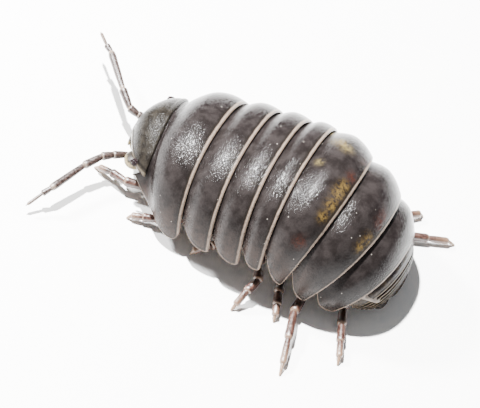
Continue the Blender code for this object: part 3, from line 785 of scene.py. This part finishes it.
def feeler(joints):
    # six articles in a chain, and a brush of fine hairs at the tip
    shells = []
    joints = [np.array(joint) for joint in joints]
    radius, last = feelers["radius"], len(joints) - 2
    for k in range(last + 1):
        far = radius[k + 1] if k == last else radius[k] * feelers["farShare"]
        addArticle(shells, joints, k, radius[k], far, feelers)
    way = unit(joints[-1] - joints[-2])
    fan = way + feelers["hairSpread"] * np.array([(0, 0, 1), (0, 0, -1), (1, 0, 0), (-1, 0, 0),
                                                  (0, 1, 0), (0, 0, 0)])
    roots = np.tile(joints[-1] - way * feelers["hairSink"], (len(fan), 1))
    return shells + cones(roots, fan, feelers["hairLength"], feelers["hairRadius"])


# Each side's feet on the floor and joints by the plates' edges. Roots lie at shares of a ring's
# length, half width and height, other joints at shares of the way to the edge or to the foot
legs = dict(
    leftFeet=((8.50, 1.72), (6.00, 3.47), (2.80, 3.55), (-0.05, 5.30), (-1.86, 4.72),
              (-3.32, 7.24), (-5.18, 5.15)),
    leftEdge=((6.90, 2.16, 0.66), (4.85, 3.05, 0.42), (2.15, 3.05, 0.60), (-0.42, 3.80, 0.88),
              (-1.40, 3.50, 0.50), (-2.42, 4.10, 0.56), (-4.45, 3.30, 0.40)),
    rightFeet=((7.10, -3.60), (4.10, -5.35), (1.35, -5.60), (0.40, -5.35), (-2.75, -5.70),
               (-4.92, -5.25), (-6.81, -4.57)),
    rightEdge=((6.20, -2.75, 0.58), (3.00, -3.95, 0.62), (1.65, -4.15, 0.62), (0.10, -4.10, 0.80),
               (-2.15, -4.10, 0.50), (-3.85, -4.00, 0.42), (-4.70, -3.30, 0.40)),
    rootSide=(0.50, 0.50, 0.50, 0.50, 0.46, 0.50, 0.46),
    rootAt=0.42, rootDown=0.66,
    drop=(0.12, 0.08, 0.40), bend=(0.55, 0.48, 1.00),
    shin=0.45, shinRise=0.80, ankle=0.84, ankleZ=0.26, footZ=0.015,
    radius=(0.24, 0.23, 0.21, 0.19, 0.17, 0.135, 0.04), farShare=1.08, lastShare=0.8,
    rows=20, around=18, lap=0.04,
    spineFrom=3, spinesAt=(0.55, 0.72, 0.88), spineSink=0.8, spineLength=0.14, spineRadius=0.02,
    spineAlong=0.9, spineDown=0.7,
)


def legJoints(i, side):
    # root on the belly, two joints under the plates, then the edge, shin, ankle and foot
    first, last = rimSection(i - 1), rimSection(i)
    section = sectionBetween(first, last, np.array([legs["rootAt"]]))
    down = legs["rootDown"] * section["height"][0]
    lean = section["lean"][0]
    root = np.array([section["top"][0, 0] + down * np.sin(lean),
                     side * legs["rootSide"][i - 1] * section["width"][0],
                     section["top"][0, 1] - down * np.cos(lean)])
    feet, edges = (("leftFeet", "leftEdge") if side > 0 else ("rightFeet", "rightEdge"))
    edge = np.array(legs[edges][i - 1])
    foot = np.array((*legs[feet][i - 1], legs["footZ"]))
    drop = root + (edge - root) * legs["drop"]
    bend = root + (edge - root) * legs["bend"]
    shin = edge + (foot - edge) * legs["shin"]
    shin[2] = edge[2] * legs["shinRise"]
    ankle = edge + (foot - edge) * legs["ankle"]
    ankle[2] = legs["ankleZ"]
    return [root, drop, bend, edge, shin, ankle, foot]


def leg(i, side):
    # six articles, and three short spines under each of the outer ones but the last
    joints = legJoints(i, side)
    shells = []
    radius, last = legs["radius"], len(joints) - 2
    for k in range(last + 1):
        near = radius[k] * (legs["lastShare"] if k == last else 1)
        far = radius[k + 1] * (1 if k == last else legs["farShare"])
        addArticle(shells, joints, k, near, far, legs, 0 if k == last else 1)
        if legs["spineFrom"] <= k < last:
            reach = joints[k + 1] - joints[k]
            spots = joints[k] + reach * np.array(legs["spinesAt"])[:, None]
            lower = np.array((0.0, 0.0, -1.0)) * radius[k + 1] * legs["spineSink"]
            way = unit(reach) * legs["spineAlong"] + (0, 0, -legs["spineDown"])
            shells += cones(spots + lower, np.tile(way, (len(spots), 1)), legs["spineLength"],
                            legs["spineRadius"])
    return shells


# Materials of the other pieces: colours, then sizes and levels as for the plates

limbLook = dict(streakSize=0.11, mottled=(0.36, 0.66), nearJoint=(0.10, 0.02),
                farJoint=(0.88, 0.96), jointed=0.6, alongShare=0.2, paleTo=1.15,
                roughness=(0.28, 0.48), depth=0.012)
legLook = dict(limbLook, dark=(0.016, 0.0055, 0.004), light=(0.055, 0.023, 0.015),
               joint=(0.16, 0.10, 0.065), tip=(0.17, 0.105, 0.065), paleFrom=0.80)
feelerLook = dict(limbLook, dark=(0.009, 0.005, 0.004), light=(0.036, 0.021, 0.017),
                  joint=(0.20, 0.15, 0.115), tip=(0.07, 0.048, 0.038), paleFrom=0.92)


def limbMaterial(name, look):
    # streaked horn, pale at each joint, and paler towards the tip of the limb
    mat, tree, shader, place = startMaterial(name, {"Specular IOR Level": 0.6, "IOR": 1.5})
    streak = noise(tree, place, look["streakSize"], 4.0, 0.6)
    along = carried(tree, "along")
    reached = sums(tree, "ADD", carried(tree, "part"), times(tree, along, look["alongShare"]))
    pale = stepped(tree, reached, look["paleFrom"], look["paleTo"])
    colour = blendColour(tree, pale, twoTones(tree, streak, look), look["tip"])
    ring = sums(tree, "ADD", stepped(tree, along, *look["nearJoint"]),
                stepped(tree, along, *look["farJoint"]), True)
    colour = blendColour(tree, times(tree, ring, look["jointed"]), colour, look["joint"])
    finishLook(tree, shader, colour, streak, streak, look)
    return mat


headLook = dict(
    light=(0.0135, 0.0115, 0.0092), dark=(0.0050, 0.0042, 0.0035), speck=(0.006, 0.005, 0.004),
    brow=(0.070, 0.058, 0.043), line=(0.004, 0.0033, 0.003), under=(0.060, 0.046, 0.032),
    mottleSize=0.30, fineSize=0.07, grainSize=0.07, grainReach=0.75, depth=0.008,
    mottled=(0.35, 0.68), speckled=(0.55, 0.70), speckle=0.6, browReach=(0.10, 0.17), browed=0.75,
    lineFrom=(0.20, 0.24), lineTo=(0.32, 0.26), lined=0.6, underShare=0.8, roughness=(0.14, 0.34),
)


def headMaterial(look):
    # mottled olive grey, with the pale brow band and the dark line inside it
    mat, tree, shader, place = startMaterial("headHorn", {"Specular IOR Level": 0.05, "IOR": 1.4})
    mottle = noise(tree, place, look["mottleSize"], 4.0, 0.65)
    fine = noise(tree, place, look["fineSize"], 3.0, 0.6)
    speckle = stepped(tree, fine, *look["speckled"], 0.0, look["speckle"])
    colour = blendColour(tree, speckle, twoTones(tree, mottle, look), look["speck"])
    brow, upper = carried(tree, "brow"), carried(tree, "upper")
    band = stepped(tree, brow, *look["browReach"], look["browed"], 0.0)
    colour = blendColour(tree, times(tree, band, upper), colour, look["brow"])
    line = between(tree, brow, look["lineFrom"], look["lineTo"])
    colour = blendColour(tree, times(tree, line, look["lined"]), colour, look["line"])
    under = times(tree, sums(tree, "SUBTRACT", 1.0, upper), look["underShare"])
    colour = blendColour(tree, under, colour, look["under"])
    height = sums(tree, "ADD", grainsOf(tree, place, look), fine)
    finishLook(tree, shader, colour, fine, height, look)
    return mat


softLook = dict(dark=(0.06, 0.045, 0.033), light=(0.13, 0.10, 0.075), size=0.35, depth=0.02,
                mottled=(0.35, 0.65), roughness=(0.50, 0.62))
creamLook = dict(dark=(0.09, 0.07, 0.04), light=(0.21, 0.17, 0.10), above=(0.013, 0.0105, 0.0080),
                 aboveFrom=(0.85, 1.15), size=0.14, depth=0.01, mottled=(0.35, 0.65),
                 roughness=(0.4, 0.4))


def skinMaterial(name, look, shaderValues):
    # mottled soft skin, and the colour above on the upper side where the look has one
    mat, tree, shader, place = startMaterial(name, shaderValues)
    mottle = noise(tree, place, look["size"], 4.0, 0.6)
    colour = twoTones(tree, mottle, look)
    if "above" in look:
        high = sums(tree, "ADD", carried(tree, "high"), mottle)
        colour = blendColour(tree, stepped(tree, high, *look["aboveFrom"]), colour, look["above"])
    finishLook(tree, shader, colour, mottle, mottle, look)
    return mat


eyeLook = dict(dark=(0.004, 0.004, 0.005), light=(0.022, 0.014, 0.014), size=0.05)


def eyeMaterial(look):
    # black lenses with a faint brown cast
    mat, tree, shader, place = startMaterial("eyeLens", {"Specular IOR Level": 0.12, "IOR": 1.4,
                                                         "Roughness": 0.10})
    cast = blendColour(tree, noise(tree, place, look["size"]), look["dark"], look["light"])
    tree.links.new(cast, shader.inputs["Base Color"])
    return mat


# The pieces

sides = ((1, "Left"), (-1, "Right"))

plateHorn = hornMaterial("plateHorn", horn)
for k in range(len(back["pitch"])):
    addPiece(f"plate{k + 1}", [bodyPlate(k)], plateHorn, "plate", f"pereonite_{k + 1}")
print("body plates made")

tailHorn = hornMaterial("tailHorn", dict(horn, **tail["look"]))
for k in range(tail["rings"]):
    addPiece(f"tailRing{k + 1}", [tailPlate(k)], tailHorn, "tail", "pleon")
telsonEdges = (np.multiply(side, flaps["telsonSides"]) for side in (-1, 1))
addPiece("telson", [flap(flaps["telson"], *telsonEdges)], tailHorn, "tail", "pleotelson")
for side, name in sides:
    edges = (np.multiply(side, edge) for edge in flaps["uropodSides"])
    addPiece(f"uropod{name}", [flap(flaps["uropod"], *edges)], tailHorn, "tail",
             f"uropod_{name.lower()}")
print("tail made")

softSkin = skinMaterial("softSkin", softLook, {"Specular IOR Level": 0.5, "IOR": 1.5})
addPiece("bellySkin", [bellySkin()], softSkin, "plate")
addPiece("headSkin", [headSkin()], headMaterial(headLook), "head", "head")
creamHorn = skinMaterial("creamHorn", creamLook, {"Specular IOR Level": 0.2, "IOR": 1.4})
turn, turnOut = head["lobeTurn"]
lobes = [dome(headPlace(head["lobeAt"], side), head["lobeSize"], turn + turnOut * side)
         for side, name in sides]
addPiece("antennaLobes", lobes, creamHorn, "head")
mouth = [dome(headPlace(head["jawAt"], side), head["jawSize"], head["jawTurn"])
         for side, name in sides]
mouth.append(dome(headPlace(head["lipAt"]), head["lipSize"], head["lipTurn"]))
addPiece("mouthparts", mouth, creamHorn, "head")
shield = dome(headPlace(head["shieldAt"]), head["shieldSize"], head["turn"])
addPiece("browShield", [shield], creamHorn, "head")
eyeLens = eyeMaterial(eyeLook)
for side, name in sides:
    addPiece(f"eye{name}", eyeBead(side), eyeLens, "eye", f"eye_{name.lower()}")
print("head made")

feelerHorn = limbMaterial("feelerHorn", feelerLook)
for side, name in sides:
    addPiece(f"feeler{name}", feeler(feelers[name.lower()]), feelerHorn, "antenna",
             f"antenna_{name.lower()}")
legHorn = limbMaterial("legHorn", legLook)
for i in range(1, len(legs["rootSide"]) + 1):
    for side, name in sides:
        addPiece(f"leg{name}{i}", leg(i, side), legHorn, "leg", f"leg_{name.lower()}_{i}")
print("limbs made")


# Floor, light and camera

stage = dict(floor=(0.93, 0.925, 0.915), floorSize=1.2, grainSize=0.6, grainTone=0.985,
             world=(0.93, 0.96, 1.0), worldStrength=0.36)


def addFloor():
    mesh = bpy.data.meshes.new("floor")
    half = stage["floorSize"] / 2
    mesh.from_pydata([(-half, -half, 0), (half, -half, 0), (half, half, 0), (-half, half, 0)], [],
                     [(0, 1, 2, 3)])
    mat, tree, shader, place = startMaterial("floorPaper", {"Roughness": 0.7})
    darker = tuple(part * stage["grainTone"] for part in stage["floor"])
    grain = blendColour(tree, noise(tree, place, stage["grainSize"]), darker, stage["floor"])
    tree.links.new(grain, shader.inputs["Base Color"])
    mesh.materials.append(mat)
    obj = bpy.data.objects.new("floor", mesh)
    bpy.context.scene.collection.objects.link(obj)


def addAimed(name, data, place, right, backwards):
    # an object at place, in metres, that looks against backwards
    axes = np.stack([right, np.cross(backwards, right), backwards], axis=1)
    obj = bpy.data.objects.new(name, data)
    obj.matrix_world = Matrix.Translation(place) @ Matrix(axes.tolist()).to_4x4()
    bpy.context.scene.collection.objects.link(obj)
    return obj


# Lamps: degrees, with azimuth from +X to +Y, metres and watts
lamps = dict(
    key=dict(azimuth=-2.0, elevation=39.0, distance=0.16, size=0.020, power=0.80),
    gloss=dict(azimuth=-8.0, elevation=68.0, distance=0.14, size=0.006, power=2.4),
)


def addLamp(name, azimuth, elevation, distance, size, power):
    light = bpy.data.lights.new(name, "AREA")
    light.shape = "DISK"
    light.size = size
    light.energy = power
    a, e = np.radians([azimuth, elevation])
    way = np.array([np.cos(a) * np.cos(e), np.sin(a) * np.cos(e), np.sin(e)])
    addAimed(name, light, way * distance, unit(np.cross((0.0, 0.0, 1.0), way)), way)


# Photo's view: degrees, with azimuth from +Y to +X, millimetres, and the photo's pixels
view = dict(azimuth=-8.22, elevation=45.98, roll=22.39, distance=134.89, scale=22.77,
            centre=(281.15, 231.76), frame=(480, 408), lift=0.25, sensor=36.0,
            clip=(0.002, 10.0))


def addCamera():
    # the camera is turned so that the point lift above the crest's foot falls on the photo's
    # pixel centre
    a, e, r = np.radians([view["azimuth"], view["elevation"], view["roll"]])
    backwards = np.array([np.cos(e) * np.sin(a), np.cos(e) * np.cos(a), np.sin(e)])
    level = unit(np.cross((0.0, 0.0, 1.0), backwards))
    upright = np.cross(backwards, level)
    right = np.cos(r) * level + np.sin(r) * upright
    up = np.cos(r) * upright - np.sin(r) * level
    aimX = (view["frame"][0] / 2 - view["centre"][0]) / view["scale"]
    aimY = (view["centre"][1] - view["frame"][1] / 2) / view["scale"]
    place = backwards * view["distance"]
    backwards = unit(place - right * aimX - up * aimY)
    camera = bpy.data.cameras.new("camera")
    camera.sensor_width = view["sensor"]
    camera.lens = view["sensor"] * view["scale"] * view["distance"] / view["frame"][0]
    camera.clip_start, camera.clip_end = view["clip"]
    place = (place + (0, 0, view["lift"]) + back["crestAt"]) * mm
    bpy.context.scene.camera = addAimed("camera", camera, place, unit(np.cross(up, backwards)),
                                        backwards)


addFloor()
for name, lamp in lamps.items():
    addLamp(name, **lamp)
world = bpy.data.worlds.new("studio")
world.use_nodes = True
sky = world.node_tree.nodes["Background"]
sky.inputs["Color"].default_value = (*stage["world"], 1.0)
sky.inputs["Strength"].default_value = stage["worldStrength"]
bpy.context.scene.world = world
addCamera()
print("floor, light and camera made")
